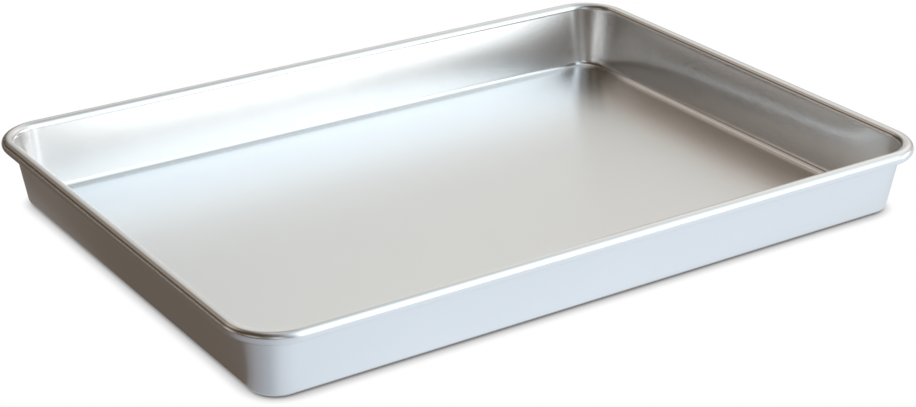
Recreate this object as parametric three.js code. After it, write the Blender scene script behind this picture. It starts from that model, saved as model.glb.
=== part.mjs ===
// A deep rectangular baking pan. One sheet of aluminium is drawn into a tray with leaning walls,
// and its edge is rolled outwards and down around a steel wire that keeps the rim straight.
// Millimetres, +Z up. The origin is the middle of the base, on the plane that the pan rests on,
// and +X runs along the pan's length.
import * as THREE from "three";

// Driving dimensions
const PAN_LENGTH = 454; // along X, over the rim
const PAN_WIDTH = 327; // along Y, over the rim
const PAN_HEIGHT = 43.2; // from the resting plane to the top of the rim
const SHEET_THICKNESS = 1;
const WALL_LEAN_DEGREES = 9.5; // outwards from upright
const FLOOR_BEND_RADIUS = 4; // inside the bend between floor and wall
const FLOOR_CORNER_RADIUS = 11.7; // of the flat floor's outline, seen from above
const WIRE_DIAMETER = 5.2;
const WIRE_CLEARANCE = 0.3; // all round the wire, inside the rolled rim
const ROLL_END_GAP = 0.4; // between the end of the rolled rim and the wall
const WIRE_BUTT_GAP = 0.6; // between the wire's two ends

// Fineness of the round stretches
const CORNER_STEPS = 10;
const BEND_STEPS = 4;
const ROLL_STEPS = 18;
const WIRE_SIDES = 12;

// What follows from them
const lean = THREE.MathUtils.degToRad(WALL_LEAN_DEGREES);
const wireRadius = WIRE_DIAMETER / 2;
const rollInnerRadius = wireRadius + WIRE_CLEARANCE;
const rollOuterRadius = rollInnerRadius + SHEET_THICKNESS;
const bendOuterRadius = FLOOR_BEND_RADIUS + SHEET_THICKNESS;

// The section through a wall, in (reach, height): reach is counted outwards from the edge of the flat floor.
const bendCentre = new THREE.Vector2(0, bendOuterRadius);
const outOfWall = new THREE.Vector2(Math.cos(lean), -Math.sin(lean));
const upTheWall = new THREE.Vector2(Math.sin(lean), Math.cos(lean));
const rollHeight = PAN_HEIGHT - rollOuterRadius;
const wallFoot = bendCentre.clone().addScaledVector(outOfWall, FLOOR_BEND_RADIUS);
const wallTopHeight = rollHeight - rollOuterRadius * outOfWall.y;
const wallLength = (wallTopHeight - wallFoot.y) / upTheWall.y;
const wallTop = wallFoot.clone().addScaledVector(upTheWall, wallLength);
const rollCentre = wallTop.clone().addScaledVector(outOfWall, rollOuterRadius);
const rimReach = rollCentre.x + rollOuterRadius;

// The roll leaves the wall, goes over the top and round the wire, and stops just short of the wall again.
const rollStart = Math.PI - lean;
const rollOpening = Math.acos((rollInnerRadius - ROLL_END_GAP) / rollOuterRadius);
const rollEnd = rollStart - (2 * Math.PI - rollOpening);

// The four corners turn about these points, whatever the height, so the walls lean alike all round.
const cornerX = PAN_LENGTH / 2 - FLOOR_CORNER_RADIUS - rimReach;
const cornerY = PAN_WIDTH / 2 - FLOOR_CORNER_RADIUS - rimReach;

/** Points of an arc, from one angle to another, both ends included. */
function arc(centre, radius, from, to, steps) {
  return Array.from({ length: steps + 1 }, (_, i) => {
    const angle = from + ((to - from) * i) / steps;
    return new THREE.Vector2(Math.cos(angle), Math.sin(angle)).multiplyScalar(radius).add(centre);
  });
}

/** One face of the sheet in section, from the flat floor up the wall and round the roll to its end. */
function sheetFace(bendRadius, rollRadius) {
  return [
    ...arc(bendCentre, bendRadius, -Math.PI / 2, -lean, BEND_STEPS),
    ...arc(rollCentre, rollRadius, rollStart, rollEnd, ROLL_STEPS),
  ];
}

/** Stations round a corner, from its first wall to its second: the point it turns about and the way out. */
function cornerStations(x, y, firstAngle) {
  const centre = new THREE.Vector2(x, y);
  const waysOut = arc(new THREE.Vector2(), 1, firstAngle, firstAngle + Math.PI / 2, CORNER_STEPS);
  return waysOut.map((out) => ({ centre, out }));
}

/** Stations round the whole pan, anticlockwise from the left end of the back wall. */
function panStations() {
  return [
    ...cornerStations(-cornerX, cornerY, Math.PI / 2),
    ...cornerStations(-cornerX, -cornerY, Math.PI),
    ...cornerStations(cornerX, -cornerY, 1.5 * Math.PI),
    ...cornerStations(cornerX, cornerY, 0),
  ];
}

/** A point of the section carried to a station. */
function place(station, point) {
  const plan = station.centre.clone().addScaledVector(station.out, FLOOR_CORNER_RADIUS + point.x);
  return new THREE.Vector3(plan.x, plan.y, point.y);
}

/** Triangles between neighbouring rows of a grid of points, as triples of vertex numbers. */
function stripFaces(rows, columns, rowsClose, columnsClose) {
  const faces = [];
  for (let row = 0; row < rows - (rowsClose ? 0 : 1); row++) {
    for (let column = 0; column < columns - (columnsClose ? 0 : 1); column++) {
      const nextRow = (row + 1) % rows;
      const nextColumn = (column + 1) % columns;
      const a = row * columns + column;
      const b = nextRow * columns + column;
      const c = nextRow * columns + nextColumn;
      const d = row * columns + nextColumn;
      faces.push(a, b, c, a, c, d);
    }
  }
  return faces;
}

/** Triangles that close a flat ring of vertices with this outline, facing up from it or turned over. */
function capFaces(ring, outline, turnedOver) {
  const triangles = THREE.ShapeUtils.triangulateShape(outline, []);
  return triangles.flatMap(([a, b, c]) => (turnedOver ? [a, c, b] : [a, b, c]).map((i) => ring[i]));
}

function solid(points, faces) {
  const geometry = new THREE.BufferGeometry().setFromPoints(points);
  geometry.setIndex(faces);
  geometry.computeVertexNormals();
  return geometry;
}

/** The drawn sheet: both faces swept round the pan and joined at the end of the roll, with the floor between. */
function panShellGeometry() {
  const under = sheetFace(bendOuterRadius, rollInnerRadius);
  const inside = sheetFace(FLOOR_BEND_RADIUS, rollOuterRadius);
  const section = [...under, ...inside.reverse()];
  const stations = panStations();
  const points = stations.flatMap((station) => section.map((point) => place(station, point)));
  const faces = stripFaces(stations.length, section.length, true, false);
  const underRing = stations.map((_, i) => i * section.length);
  const insideRing = underRing.map((i) => i + section.length - 1);
  const floorOutline = underRing.map((i) => new THREE.Vector2(points[i].x, points[i].y));
  faces.push(...capFaces(underRing, floorOutline, true));
  faces.push(...capFaces(insideRing, floorOutline, false));
  return solid(points, faces);
}

/** The wire: a round bar bent to the rim's outline, its two ends butted in the middle of the back wall. */
function rimWireGeometry() {
  const round = arc(rollCentre, wireRadius, 0, 2 * Math.PI, WIRE_SIDES).slice(0, -1);
  const buttEnd = (x) => ({ centre: new THREE.Vector2(x, cornerY), out: new THREE.Vector2(0, 1) });
  const stations = [buttEnd(-WIRE_BUTT_GAP / 2), ...panStations(), buttEnd(WIRE_BUTT_GAP / 2)];
  const points = stations.flatMap((station) => round.map((point) => place(station, point)));
  const faces = stripFaces(stations.length, round.length, false, true);
  const firstEnd = round.map((_, i) => i);
  const lastEnd = firstEnd.map((i) => i + (stations.length - 1) * round.length);
  faces.push(...capFaces(firstEnd, round, false));
  faces.push(...capFaces(lastEnd, round, true));
  return solid(points, faces);
}

function piece(name, geometry, finish) {
  const mesh = new THREE.Mesh(geometry, new THREE.MeshStandardMaterial(finish));
  mesh.name = name;
  return mesh;
}

const pan = new THREE.Group();
pan.add(
  piece("pan_shell", panShellGeometry(), { color: 0xd3d2ce, roughness: 0.38, metalness: 1 }),
  piece("rim_wire", rimWireGeometry(), { color: 0xa9adb0, roughness: 0.5, metalness: 1 }),
);

export default pan;
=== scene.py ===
# %% [markdown]
# # A deep baking pan, pressed from one sheet
#
# The real object is one sheet of aluminium: a press draws it into a tray with leaning walls, and
# its edge is then rolled over a steel wire. This lesson builds that sheet with mesh operators, much
# as the press does, and spends the rest of its time on what makes bare metal look like bare metal:
# its finish, and the light that it mirrors.
#
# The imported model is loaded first. It is the fixed frame that every new piece is fitted to.

# %% Load the frame
from math import acos, asin, copysign, cos, degrees, pi, radians, sin

import bmesh
import bpy
from mathutils import Matrix, Quaternion, Vector


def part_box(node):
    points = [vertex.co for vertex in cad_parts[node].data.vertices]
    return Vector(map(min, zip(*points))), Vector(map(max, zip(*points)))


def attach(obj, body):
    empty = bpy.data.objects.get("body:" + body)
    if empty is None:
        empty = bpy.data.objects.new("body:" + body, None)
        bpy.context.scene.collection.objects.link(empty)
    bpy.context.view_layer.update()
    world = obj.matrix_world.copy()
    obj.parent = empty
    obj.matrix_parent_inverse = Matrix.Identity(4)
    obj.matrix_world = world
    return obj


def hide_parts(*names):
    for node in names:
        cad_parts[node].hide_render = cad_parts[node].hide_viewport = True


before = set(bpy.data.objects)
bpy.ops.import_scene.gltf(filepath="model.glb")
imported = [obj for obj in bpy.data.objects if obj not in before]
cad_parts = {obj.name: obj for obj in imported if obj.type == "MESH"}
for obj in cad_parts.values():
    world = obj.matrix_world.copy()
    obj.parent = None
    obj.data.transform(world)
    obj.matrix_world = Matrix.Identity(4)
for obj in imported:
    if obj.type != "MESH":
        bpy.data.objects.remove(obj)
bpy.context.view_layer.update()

scene = bpy.context.scene
scene.view_settings.view_transform = "Standard"
print("nodes:", ", ".join(sorted(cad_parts)))

# %% [markdown]
# ## The camera
#
# A camera can be placed by eye, but a pan is all straight edges, so its place can be worked out:
# the lines of the rim and the foot in the photograph fix where the lens stood. The camera is set
# to that spot, aimed along the fitted direction, and rolled by a quarter of a degree.

# %% Camera
lens_place = Vector((-0.62951, -0.93822, 0.50482))
looking_along = Vector((0.50908, 0.75791, -0.40794))
horizon_roll = radians(0.2283)
sensor_width = 36  # mm
focal_length = 81.462  # mm

camera_lens = bpy.data.cameras.new("camera")
camera_lens.sensor_width = sensor_width
camera_lens.lens = focal_length
camera = bpy.data.objects.new("camera", camera_lens)
scene.collection.objects.link(camera)
scene.camera = camera
camera.location = lens_place
camera.rotation_mode = "QUATERNION"
upright = looking_along.to_track_quat("-Z", "Y")
camera.rotation_quaternion = upright @ Quaternion((0, 0, 1), horizon_roll)
print("camera looks down by", round(degrees(asin(-looking_along.z)), 1), "degrees")

# %% [markdown]
# ## Sizes of the sheet
#
# The wire's box in the frame says where the middle of the rolled rim lies. A few sizes can't be read
# from a box: how thick the sheet is, how far the walls lean, how tight the bends are and how closely
# the rim is rolled. Those get names here, and everything else follows from them, so the new pieces
# can't drift off the frame.

# %% Sizes in metres
sheet = 0.001
wall_lean = radians(9.5)
bend_radius = 0.004  # inside the bend between floor and wall
floor_corner = 0.0117  # of the flat floor's outline, seen from above
bead_proud = 0.00005  # how far the rolled bead stands in past the wall
neck_radius = 0.001  # of the hollow between the wall and the bead
wire_clearance = 0.0003
roll_end_gap = 0.0004

wire_low, wire_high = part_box("rim_wire")
wire_radius = (wire_high.z - wire_low.z) / 2
roll_height = (wire_high.z + wire_low.z) / 2
roll_radius = wire_radius + wire_clearance + sheet
half_length = wire_high.x + wire_clearance + sheet
half_width = wire_high.y + wire_clearance + sheet

out_of_wall = Vector((cos(wall_lean), 0, -sin(wall_lean)))
up_the_wall = Vector((sin(wall_lean), 0, cos(wall_lean)))
wall_foot_height = sheet + bend_radius - bend_radius * sin(wall_lean)
wall_to_wire = roll_radius - bead_proud
wall_top_height = roll_height + wall_to_wire * sin(wall_lean)
wall_length = (wall_top_height - wall_foot_height) / cos(wall_lean)
roll_reach = (bend_radius + wall_to_wire) * cos(wall_lean) + wall_length * sin(wall_lean)
neck_turn = acos(1 - bead_proud / (roll_radius + neck_radius))
neck_drop = (roll_radius + neck_radius) * sin(neck_turn)
flat_run = wall_length - neck_drop
corner_x = half_length - roll_radius - roll_reach - floor_corner
corner_y = half_width - roll_radius - roll_reach - floor_corner
print("pan over the rim, mm:", round(2000 * half_length, 1), "by", round(2000 * half_width, 1))
print("height, mm:", round(1000 * (roll_height + roll_radius), 1))
print("flat wall between bend and bead, mm:", round(1000 * flat_run, 2))

# %% [markdown]
# ## The sheet in section
#
# Cut the pan through its right wall and the sheet is a single line: it leaves the floor, bends up,
# climbs the wall, necks in a hair's breadth and rolls over the wire. One vertex can draw that line.
# It is spun round the bend, extruded up the wall, and spun round the neck and the roll. Short first
# and last steps on the wall keep the smooth shading of the bends from leaking onto the flat part.
# The mesh gets a layer for lengths before its first vertex, because a later one would loosen the
# script's hold on the vertices.

# %% Draw the section
bend_steps = 12
neck_steps = 6
roll_steps = 54
wall_shares = (0.02, 0.04, 0.08, *[0.09] * 8, 0.08, 0.04, 0.02)  # of the flat wall, step by step
bend_turn = pi / 2 - wall_lean
roll_turn = 2 * pi + neck_turn - acos((wall_to_wire - sheet - roll_end_gap) / roll_radius)


def spun_tip(bm, tip, middle, axis, turn, steps):
    """Spins the end of the line round a point and gives the new end."""
    spun = bmesh.ops.spin(bm, geom=[tip], cent=middle, axis=axis, angle=turn, steps=steps)
    return spun["geom_last"][0]


def pushed_tip(bm, tip, way):
    """Extrudes the end of the line straight on and gives the new end."""
    new_tip = bmesh.ops.extrude_vert_indiv(bm, verts=[tip])["verts"][0]
    bmesh.ops.translate(bm, verts=[new_tip], vec=way)
    return new_tip


def draw_section(bm):
    """Draws the sheet's food side in section, from the edge of the flat floor to the end of the roll."""
    floor_edge = Vector((corner_x + floor_corner, corner_y, sheet))
    bend_middle = floor_edge + Vector((0, 0, bend_radius))
    tip = bm.verts.new(floor_edge)
    tip = spun_tip(bm, tip, bend_middle, (0, -1, 0), bend_turn, bend_steps)
    for share in wall_shares:
        tip = pushed_tip(bm, tip, up_the_wall * flat_run * share)
    neck_middle = tip.co - out_of_wall * neck_radius
    tip = spun_tip(bm, tip, neck_middle, (0, -1, 0), neck_turn, neck_steps)
    roll_middle = tip.co + (tip.co - neck_middle) * roll_radius / neck_radius
    spun_tip(bm, tip, roll_middle, (0, 1, 0), roll_turn, roll_steps)
    return bm.verts[:] + bm.edges[:]


pan_mesh = bmesh.new()
along = pan_mesh.verts.layers.float.new("along_sheet")
section = draw_section(pan_mesh)
section_top = max(vert.co.z for vert in pan_mesh.verts)
print("section:", len(pan_mesh.edges), "edges, top at", round(1000 * section_top, 2), "mm")

# %% [markdown]
# ## Lengths along the sheet
#
# The blank was flat once, and a later step lays it flat again. For that, each vertex of the section
# notes how far it lies from the floor, along the sheet. The operators that follow copy the note
# along with the vertex, so it has to be written only here, where the line is short.

# %% Measure along the sheet
def note_along(bm, layer):
    """Notes on each vertex of the section how far it lies from the flat floor, along the sheet."""
    so_far = 0
    line = bm.verts[:]
    for before, after in zip(line, line[1:]):
        so_far += (after.co - before.co).length
        after[layer] = so_far
    return so_far


sheet_reach = note_along(pan_mesh, along)
print("sheet beyond the flat floor, mm:", round(1000 * sheet_reach, 1))

# %% [markdown]
# ## Walls round one quarter
#
# The pan has two planes of symmetry, so a quarter is enough. Spinning the section about the corner's
# upright axis makes the rounded corner. Its two open ends are then extruded along the straight
# sides as far as the middle of the pan. The first steps beside the corner are short, for the same
# reason as on the wall.

# %% Carry the section round a quarter
corner_steps = 28
side_shares = (0.008, 0.022, 0.05, *[0.092] * 10)  # of the way to the pan's middle, step by step


def edges_of(made):
    """Picks the edges out of what an operator made."""
    return [item for item in made if isinstance(item, bmesh.types.BMEdge)]


def slide_edges(bm, edges, way):
    """Extrudes edges straight on and gives the new ones."""
    made = bmesh.ops.extrude_edge_only(bm, edges=edges)["geom"]
    moved = [item for item in made if isinstance(item, bmesh.types.BMVert)]
    bmesh.ops.translate(bm, verts=moved, vec=way)
    return edges_of(made)


def run_straight(bm, open_edges, way):
    """Carries an open end of the walls along a straight side, in steps."""
    for share in side_shares:
        open_edges = slide_edges(bm, open_edges, way * share)


right_end = edges_of(section)
corner = bmesh.ops.spin(
    pan_mesh, geom=section, cent=(corner_x, corner_y, 0), axis=(0, 0, 1), angle=pi / 2, steps=corner_steps
)
run_straight(pan_mesh, edges_of(corner["geom_last"]), Vector((-corner_x, 0, 0)))
run_straight(pan_mesh, right_end, Vector((0, -corner_y, 0)))
print("quarter:", len(pan_mesh.faces), "faces")

# %% [markdown]
# ## The whole tray
#
# Two mirrors turn the quarter into the whole rim and wall. The hole in the middle is filled with one
# face, which is the flat floor, and a narrow inset round it keeps its shading level. Mirroring can
# leave faces looking the wrong way, so the normals are recalculated and turned to the food side
# before the sheet gets its thickness.

# %% Mirror and close the floor
weld = 1e-6  # points nearer than this are joined
floor_border = 0.002

for axis in "XY":
    everything = pan_mesh.verts[:] + pan_mesh.edges[:] + pan_mesh.faces[:]
    bmesh.ops.mirror(pan_mesh, geom=everything, matrix=Matrix(), merge_dist=weld, axis=axis)
bmesh.ops.remove_doubles(pan_mesh, verts=pan_mesh.verts, dist=weld)
floor_edges = [edge for edge in pan_mesh.edges if edge.is_boundary and edge.verts[0].co.z < bend_radius]
floor_faces = bmesh.ops.contextual_create(pan_mesh, geom=floor_edges)["faces"]
bmesh.ops.inset_region(pan_mesh, faces=floor_faces, thickness=floor_border, use_even_offset=True)
bmesh.ops.recalc_face_normals(pan_mesh, faces=pan_mesh.faces)
if floor_faces[0].normal.z < 0:
    bmesh.ops.reverse_faces(pan_mesh, faces=pan_mesh.faces)
print("tray:", len(pan_mesh.faces), "faces, floor looks up:", floor_faces[0].normal.z > 0)

# %% [markdown]
# ## Walls that spring back
#
# A drawn wall never stays quite flat. When the die lets go the sheet springs, and between the stiff
# corners each wall bellies in a little. About a millimetre is enough to bend what the metal mirrors
# into long curved bands, and flat walls would show none of them.

# %% Let the walls spring
spring_back = 0.0012
steadiness = 10  # the higher, the nearer to the corners the belly keeps its depth
bend_run = bend_radius * bend_turn


def spring_in(bm, layer):
    """Moves the walls inwards, most at half their height, and fades the move out at the corners."""
    moved = 0
    for vert in bm.verts:
        rise = (vert[layer] - bend_run) / flat_run
        for across, wall_from, wall_end in ((0, corner_x, corner_y), (1, corner_y, corner_x)):
            on_wall = vert.co[1 - across]
            if 0 < rise < 1 and abs(vert.co[across]) > wall_from and abs(on_wall) < wall_end:
                spread = (1 - (on_wall / wall_end) ** steadiness) ** 2
                vert.co[across] -= copysign(spring_back * sin(pi * rise) * spread, vert.co[across])
                moved += 1
    return moved


print("wall points moved:", spring_in(pan_mesh, along))

# %% [markdown]
# ## Thickness
#
# The surface so far is the side that food touches. Solidify adds the under side one sheet thickness
# behind it, and closes the raw edge at the end of the roll.

# %% Give the sheet its thickness
bmesh.ops.solidify(pan_mesh, geom=pan_mesh.faces[:], thickness=sheet)
print("both sides of the sheet:", len(pan_mesh.faces), "faces")

# %% [markdown]
# ## A map of the flat blank
#
# The rolling mill leaves fine lines along the sheet, and the press carries them up every wall. To
# follow them later, each point has to know where it lay before the press closed. On the floor that
# is its own place. Beyond the floor it is as far out as the sheet runs. An automatic unwrap would
# cut the sheet into islands and turn them, so the map is written from the lengths noted before.

# %% Lay the sheet flat
def lay_flat(bm, layer):
    """Gives the sheet a UV map, in metres: the place each point had before the sheet was drawn."""
    flat_map = bm.loops.layers.uv.new("flat_sheet")
    for face in bm.faces:
        for loop in face.loops:
            spot = loop.vert.co.xy
            inner = Vector((min(max(spot.x, -corner_x), corner_x), min(max(spot.y, -corner_y), corner_y)))
            outwards = spot - inner
            if loop.vert[layer] > 0:
                outwards.length = floor_corner + loop.vert[layer]
            loop[flat_map].uv = inner + outwards


lay_flat(pan_mesh, along)
blank = [2000 * (middle + floor_corner + sheet_reach) for middle in (corner_x, corner_y)]
print("flat blank, mm:", round(blank[0], 1), "by", round(blank[1], 1))

# %% [markdown]
# ## From mesh to piece
#
# A bmesh is only a workbench, so the finished sheet is handed to an object that stays at the origin.
# Every face is shaded smooth, except across the raw edge, which is cut square. The new piece then
# rides on the pan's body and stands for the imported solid.

# %% Hand over the drawn pan
square_edge = radians(50)  # a sharper fold than this isn't shaded smooth


def finish_piece(bm, name):
    """Turns a bmesh into a smooth-shaded object with its place in its mesh."""
    for face in bm.faces:
        face.smooth = True
    for edge in bm.edges:
        edge.smooth = edge.calc_face_angle(0) < square_edge
    mesh = bpy.data.meshes.new(name)
    bm.to_mesh(mesh)
    bm.free()
    piece = bpy.data.objects.new(name, mesh)
    scene.collection.objects.link(piece)
    size = [round(1000 * side, 1) for side in piece.dimensions]
    print(name, "has", len(mesh.polygons), "faces and measures", size, "mm")
    return piece


drawn_pan = finish_piece(pan_mesh, "drawn_pan")
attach(drawn_pan, "root")
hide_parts("pan_shell")

# %% [markdown]
# ## The wire in the rim
#
# The roll closes over a round steel wire, bent to the rim's outline, with its two ends butted in the
# middle of the back side. Hardly any of it shows, but it is a piece of its own. A circle is carried
# along half the rim by extruding and spinning in turn, its first end is closed, and a mirror adds
# the other half.

# %% Bend the wire
wire_butt_gap = 0.0006
wire_sides = 24
rim_corner = floor_corner + roll_reach


def turn_ring(bm, ring, middle):
    """Carries the wire's ring of edges round a corner and gives the new ring."""
    turned = bmesh.ops.spin(bm, geom=ring, cent=middle, axis=(0, 0, -1), angle=pi / 2, steps=corner_steps)
    return edges_of(turned["geom_last"])


wire_mesh = bmesh.new()
butt_end = Vector((wire_butt_gap / 2, corner_y + rim_corner, roll_height))
upright_ring = Matrix.Translation(butt_end) @ Matrix.Rotation(pi / 2, 4, "Y")
bmesh.ops.create_circle(wire_mesh, segments=wire_sides, radius=wire_radius, matrix=upright_ring)
ring = wire_mesh.edges[:]
bmesh.ops.contextual_create(wire_mesh, geom=ring)
ring = slide_edges(wire_mesh, ring, Vector((corner_x - wire_butt_gap / 2, 0, 0)))
ring = turn_ring(wire_mesh, ring, (corner_x, corner_y, 0))
ring = slide_edges(wire_mesh, ring, Vector((0, -2 * corner_y, 0)))
ring = turn_ring(wire_mesh, ring, (corner_x, -corner_y, 0))
slide_edges(wire_mesh, ring, Vector((-corner_x, 0, 0)))
half_wire = wire_mesh.verts[:] + wire_mesh.edges[:] + wire_mesh.faces[:]
bmesh.ops.mirror(wire_mesh, geom=half_wire, matrix=Matrix(), merge_dist=weld, axis="X")
bmesh.ops.remove_doubles(wire_mesh, verts=wire_mesh.verts, dist=weld)
bmesh.ops.recalc_face_normals(wire_mesh, faces=wire_mesh.faces)
bent_wire = finish_piece(wire_mesh, "bent_wire")
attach(bent_wire, "root")
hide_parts("rim_wire")

# %% [markdown]
# ## Helpers for finishes
#
# A finish is a small network of nodes. Writing each node, its settings and its inputs in one line
# keeps the network readable, so a helper makes the node and either links an input or sets it. The
# other helpers start a material, start a metal, and turn a pattern into a colour or a number.

# %% Node helpers
mix_first, mix_second, mix_result = 6, 7, 2  # a Mix node's sockets for colours


def add_node(tree, kind, inputs=(), **settings):
    """Adds a node. Inputs are pairs of a socket's name or number and a value, or a socket to link."""
    made = tree.nodes.new(kind)
    for setting, value in settings.items():
        setattr(made, setting, value)
    for socket, value in inputs:
        if isinstance(value, bpy.types.NodeSocket):
            tree.links.new(value, made.inputs[socket])
        else:
            made.inputs[socket].default_value = value
    return made


def new_material(name):
    """A material without nodes, and its empty network."""
    material = bpy.data.materials.new(name)
    material.use_nodes = True
    material.node_tree.nodes.clear()
    return material, material.node_tree


def new_metal(name):
    """A material with a plain metal shader, and the piece's own coordinates to lay patterns on."""
    metal, tree = new_material(name)
    shader = add_node(tree, "ShaderNodeBsdfPrincipled", [("Metallic", 1.0)])
    add_node(tree, "ShaderNodeOutputMaterial", [("Surface", shader.outputs[0])])
    place = add_node(tree, "ShaderNodeTexCoord").outputs["Object"]
    return metal, tree, shader, place


def colour_between(tree, pattern, first, second):
    """The first colour where the pattern is 0, and the second where it is 1."""
    inputs = [("Factor", pattern), (mix_first, (*first, 1)), (mix_second, (*second, 1))]
    return add_node(tree, "ShaderNodeMix", inputs, data_type="RGBA").outputs[mix_result]


def number_between(tree, pattern, low, high):
    """The low number where the pattern is 0, and the high one where it is 1."""
    inputs = [("Value", pattern), ("To Min", low), ("To Max", high)]
    return add_node(tree, "ShaderNodeMapRange", inputs).outputs[0]


print("helpers ready")

# %% [markdown]
# ## Drawn aluminium
#
# The mill's rollers leave the sheet with a satin face of fine parallel lines. Such a face spreads
# light across its lines far more than along them, so every highlight is stretched one way: down the
# long walls, and sideways along the short ones. The shader calls this anisotropy. Its direction is
# taken from the flat map, because the press bent the lines together with the metal.
#
# Two noises add what the eye reads as metal: the fine lines themselves, and a slow unevenness of
# the satin, which shifts both its shade and its roughness a little.

# %% Aluminium finish
satin_range = (0.22, 0.262)  # roughness
dull_shade = (0.845, 0.845, 0.845)
bright_shade = (0.875, 0.875, 0.875)
patches_per_metre = 22.0
lines_per_metre = (12.0, 900.0, 1.0)  # along them, across them, and upright, which a flat map lacks
line_depth = 0.0002
line_strength = 0.05
stretch = 0.85  # of highlights across the lines: 0 is none, 1 is the most
across_the_lines = 0.25  # of a turn, from the flat map's first axis

aluminium, tree, shader, place = new_metal("pan_aluminium")
patchy = [("Scale", patches_per_metre), ("Detail", 5.0), ("Roughness", 0.6)]
patches = add_node(tree, "ShaderNodeTexNoise", [("Vector", place), *patchy]).outputs[0]
shade = colour_between(tree, patches, dull_shade, bright_shade)
satin = number_between(tree, patches, *satin_range)
flat_place = add_node(tree, "ShaderNodeUVMap", uv_map="flat_sheet").outputs[0]
line_place = add_node(tree, "ShaderNodeMapping", [("Vector", flat_place), ("Scale", lines_per_metre)])
lined = [("Vector", line_place.outputs[0]), ("Scale", 1.0), ("Detail", 3.0)]
lines = add_node(tree, "ShaderNodeTexNoise", lined).outputs[0]
pressed = [("Height", lines), ("Strength", line_strength), ("Distance", line_depth)]
rolled = add_node(tree, "ShaderNodeBump", pressed)
rolling_way = add_node(tree, "ShaderNodeTangent", direction_type="UV_MAP", uv_map="flat_sheet")
tree.links.new(shade, shader.inputs["Base Color"])
tree.links.new(satin, shader.inputs["Roughness"])
tree.links.new(rolled.outputs[0], shader.inputs["Normal"])
tree.links.new(rolling_way.outputs[0], shader.inputs["Tangent"])
shader.inputs["Anisotropic"].default_value = stretch
shader.inputs["Anisotropic Rotation"].default_value = across_the_lines
drawn_pan.data.materials.append(aluminium)
print("aluminium finish:", len(tree.nodes), "nodes")

# %% [markdown]
# ## Galvanised wire
#
# Zinc freezes on steel in dull grey crystals, so the wire is rougher and patchier than the sheet.
# A cell pattern gives each crystal its own shade and its own roughness.

# %% Wire finish
crystals_per_metre = 420.0
crystal_roughness = (0.4, 0.6)
dark_zinc = (0.53, 0.55, 0.56)
pale_zinc = (0.67, 0.69, 0.7)

galvanised, tree, shader, place = new_metal("galvanised_wire")
cells = [("Vector", place), ("Scale", crystals_per_metre)]
crystals = add_node(tree, "ShaderNodeTexVoronoi", cells).outputs["Color"]
tree.links.new(colour_between(tree, crystals, dark_zinc, pale_zinc), shader.inputs["Base Color"])
tree.links.new(number_between(tree, crystals, *crystal_roughness), shader.inputs["Roughness"])
bent_wire.data.materials.append(galvanised)
print("wire finish:", len(tree.nodes), "nodes")

# %% [markdown]
# ## The floor
#
# The pan stands on white paper. One flat face will do, so wide that no view finds its edge. It isn't
# part of the object.

# %% Studio floor
floor_reach = 25.0

ground_mesh = bmesh.new()
bmesh.ops.create_grid(ground_mesh, x_segments=1, y_segments=1, size=floor_reach)
ground = finish_piece(ground_mesh, "studio_floor")

# %% [markdown]
# ## White paper
#
# Brightening the room until the paper turns white would flood the pan too, so the paper shows its
# white only to the rays that look at it: those of the camera, and those that metal or glass send
# on. All other rays meet plain matt paper.
#
# The pan must still shade the ground. An occlusion node measures how much of its view up each spot
# loses to things close by. Where most of the view is left the paper stays white, and at the foot it
# darkens, which draws the narrow soft shadow that ties the pan to the ground.

# %% Paper
paper_white = (0.8, 0.8, 0.8, 1)
shade_reach = 0.012  # how close a thing must be to shade the paper
view_for_white = 0.72  # share of the view up that keeps the paper white

paper, tree = new_material("floor_paper")
matt = add_node(tree, "ShaderNodeBsdfDiffuse", [("Color", paper_white)])
view_left = add_node(tree, "ShaderNodeAmbientOcclusion", [("Distance", shade_reach)]).outputs["AO"]
whiteness = add_node(tree, "ShaderNodeMapRange", [("Value", view_left), ("From Max", view_for_white)])
white = add_node(tree, "ShaderNodeEmission", [("Strength", whiteness.outputs[0])])
rays = add_node(tree, "ShaderNodeLightPath").outputs
looking = rays["Is Camera Ray"]
for other in ("Is Glossy Ray", "Is Transmission Ray"):
    either = add_node(tree, "ShaderNodeMath", [(0, looking), (1, rays[other])], operation="MAXIMUM")
    looking = either.outputs[0]
paper_look = add_node(
    tree, "ShaderNodeMixShader", [(0, looking), (1, matt.outputs[0]), (2, white.outputs[0])]
)
add_node(tree, "ShaderNodeOutputMaterial", [("Surface", paper_look.outputs[0])])
ground.data.materials.append(paper)
print("paper is shaded within", 1000 * shade_reach, "mm of the pan")

# %% [markdown]
# ## The light
#
# Bare metal shows the room more than it shows itself, so the room is the light. It is made of a
# few soft glows, each with a compass direction, a height, a tightness and a colour: windows to the
# front and the right, dimmer walls on the other sides, a warm tint at the back left, and a little
# light from overhead. A glow could be a lamp, but a lamp has a hard outline that polished walls
# would show. Here each one is the world's own light, which fades smoothly with the angle from its
# middle.
#
# These numbers weren't chosen by hand. A separate least-squares fit of the mirrored room to the
# photograph gave all of them but the overhead glow, and they were then rounded.

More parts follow.
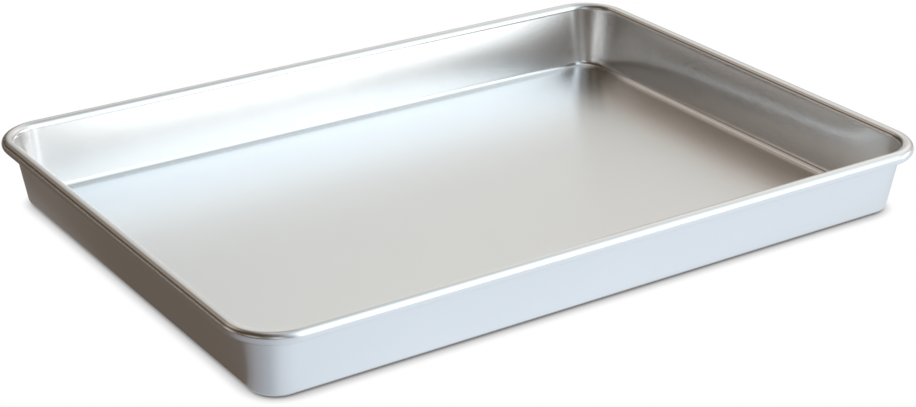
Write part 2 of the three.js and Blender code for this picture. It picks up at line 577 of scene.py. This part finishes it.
# %% Room
room = bpy.data.worlds.new("room")
scene.world = room
room.use_nodes = True
tree = room.node_tree
tree.nodes.clear()
way = add_node(tree, "ShaderNodeTexCoord").outputs["Generated"]
glows = {  # degrees from the back towards the right, degrees above the floor, tightness, colour
    "low window": (150, 5, 21, (1.86, 1.86, 1.82)),
    "high window": (145, 38, 9, (1.22, 1.45, 1.62)),
    "side window": (114, 2, 60, (6.2, 6.2, 6.2)),
    "right wall": (68, 33, 7, (1.05, 1.05, 1.02)),
    "back low": (29, 3, 60, (0.8, 0.8, 0.78)),
    "back high": (25, 35, 28, (0.52, 0.55, 0.56)),
    "ceiling": (5, 51, 43, (0.74, 0.7, 0.66)),
    "back left": (328, 41, 53, (0.85, 0.74, 0.65)),
    "left wall": (305, 10, 60, (0.87, 0.83, 0.8)),
    "front left": (252, 22, 60, (0.69, 0.68, 0.67)),
    "front wall": (204, 19, 60, (1.22, 1.27, 1.3)),
    "overhead": (0, 90, 40, (0.6, 0.6, 0.6)),
    "all round": (0, 90, 0, (0.05, 0.03, 0.01)),
}


def glow_way(compass, rise):
    """The direction of a glow, from the pan: the compass starts at the back and turns to the right."""
    level = cos(radians(rise))
    return Vector((sin(radians(compass)) * level, cos(radians(compass)) * level, sin(radians(rise))))


lit = None
for compass, rise, tightness, colour in glows.values():
    facing = add_node(
        tree, "ShaderNodeVectorMath", [(0, way), (1, glow_way(compass, rise))], operation="DOT_PRODUCT"
    )
    fall = add_node(
        tree,
        "ShaderNodeMath",
        [(0, facing.outputs["Value"]), (1, tightness), (2, -tightness)],
        operation="MULTIPLY_ADD",
    )
    soft = add_node(tree, "ShaderNodeMath", [(0, fall.outputs[0])], operation="EXPONENT")
    shine = add_node(tree, "ShaderNodeBackground", [("Color", (*colour, 1)), ("Strength", soft.outputs[0])])
    lit = shine if lit is None else add_node(
        tree, "ShaderNodeAddShader", [(0, lit.outputs[0]), (1, shine.outputs[0])]
    )
add_node(tree, "ShaderNodeOutputWorld", [("Surface", lit.outputs[0])])
print("room light made of", len(glows), "glows")

# %% [markdown]
# ## A ring of card for painted reflections
#
# The outer walls lean out over the ground, so the ground is what they mirror. White paper alone would
# leave them blank. This ring is a painted reflection: a glowing card just outside the picture, whose
# tones stand for the ground as the walls would mirror it, lit in places and in the pan's shade in
# others. It is one face, inset and with the corners of the inner face rounded, and that face is then
# cut out, which leaves a window for the pan to stand in. Only reflections see it.

# %% Cut the card
card_reach = 3.0
card_window = (0.2135, 0.15)  # half its length and half its width
window_corner = 0.0155
window_steps = 8
card_height = 0.0003

card_mesh = bmesh.new()
bmesh.ops.create_grid(card_mesh, x_segments=1, y_segments=1, size=1)
card_size = (card_window[0] + card_reach, card_window[1] + card_reach, 1)
bmesh.ops.scale(card_mesh, verts=card_mesh.verts, vec=card_size)
bmesh.ops.translate(card_mesh, verts=card_mesh.verts, vec=(0, 0, card_height))
middle = card_mesh.faces[:]
bmesh.ops.inset_region(
    card_mesh, faces=middle, thickness=card_reach, use_boundary=True, use_even_offset=True
)
bmesh.ops.bevel(
    card_mesh,
    geom=middle[0].verts[:],
    offset=window_corner,
    offset_type="OFFSET",
    affect="VERTICES",
    segments=window_steps,
    profile=0.5,
    material=-1,
)
window = min(card_mesh.faces, key=lambda face: face.calc_center_median().length)
bmesh.ops.delete(card_mesh, geom=[window], context="FACES")
# a glowing card of painted reflections, lit and shaded ground, which only reflections see
painted_reflection_card = finish_piece(card_mesh, "painted_reflection_card")
painted_reflection_card.visible_camera = False
painted_reflection_card.visible_diffuse = False
painted_reflection_card.visible_shadow = False

# %% [markdown]
# ## The card's painted tones
#
# The card is brown on the left, pale blue in front and grey behind. Its tones turn about the axis of
# the front left corner, the one nearest to the camera, so on that round corner they run straight up,
# from the foot to the rim. A radial gradient counts the turn, and a colour ramp gives each part of
# it a tone. The tones started from the same fit as the room and were then changed.
# The tones are painted reflections of the ground. The brown on the left is painted shade: it stands for the
# ground beside the left wall, lying in the pan's shade. The pale blue in front stands for ground lit by
# cool window light.

# %% Tone the card
# painted reflections: brown is painted shade, the ground in the pan's shade; pale blue is ground lit by
# window light
painted_reflection_tones = {  # share of a turn, anticlockwise from the left: the card's tone there
    0.0: (0.31, 0.31, 0.32),
    0.06: (0.36, 0.37, 0.4),
    0.13: (0.44, 0.48, 0.53),
    0.19: (0.64, 0.68, 0.75),
    0.25: (0.7, 0.77, 0.85),
    0.31: (0.75, 0.83, 0.91),
    0.485: (0.8, 0.88, 0.96),
    0.54: (0.45, 0.42, 0.39),
    0.62: (0.28, 0.27, 0.26),
    0.75: (0.34, 0.32, 0.3),
    0.762: (0.23, 0.2, 0.18),
    0.77: (0.145, 0.118, 0.097),
    0.935: (0.15, 0.12, 0.1),
    0.965: (0.26, 0.25, 0.25),
}

painted_tones_material, tree = new_material("painted_reflection_card")
place = add_node(tree, "ShaderNodeTexCoord").outputs["Object"]
corner_shift = (corner_x, corner_y, 0)  # brings the front left corner to the middle
shifted = add_node(tree, "ShaderNodeMapping", [("Vector", place), ("Location", corner_shift)]).outputs[0]
turn = add_node(tree, "ShaderNodeTexGradient", [("Vector", shifted)], gradient_type="RADIAL")
tones = add_node(tree, "ShaderNodeValToRGB", [("Fac", turn.outputs["Fac"])])
stops = tones.color_ramp.elements
stops.remove(stops[1])
for share, tone in painted_reflection_tones.items():
    stop = stops[0] if share == 0.0 else stops.new(share)
    stop.color = (*tone, 1)
# the card glows with the painted tones, though it is no lamp
shown = add_node(tree, "ShaderNodeEmission", [("Color", tones.outputs[0])])
add_node(tree, "ShaderNodeOutputMaterial", [("Surface", shown.outputs[0])])
painted_reflection_card.data.materials.append(painted_tones_material)
print("card of", len(stops), "tones")
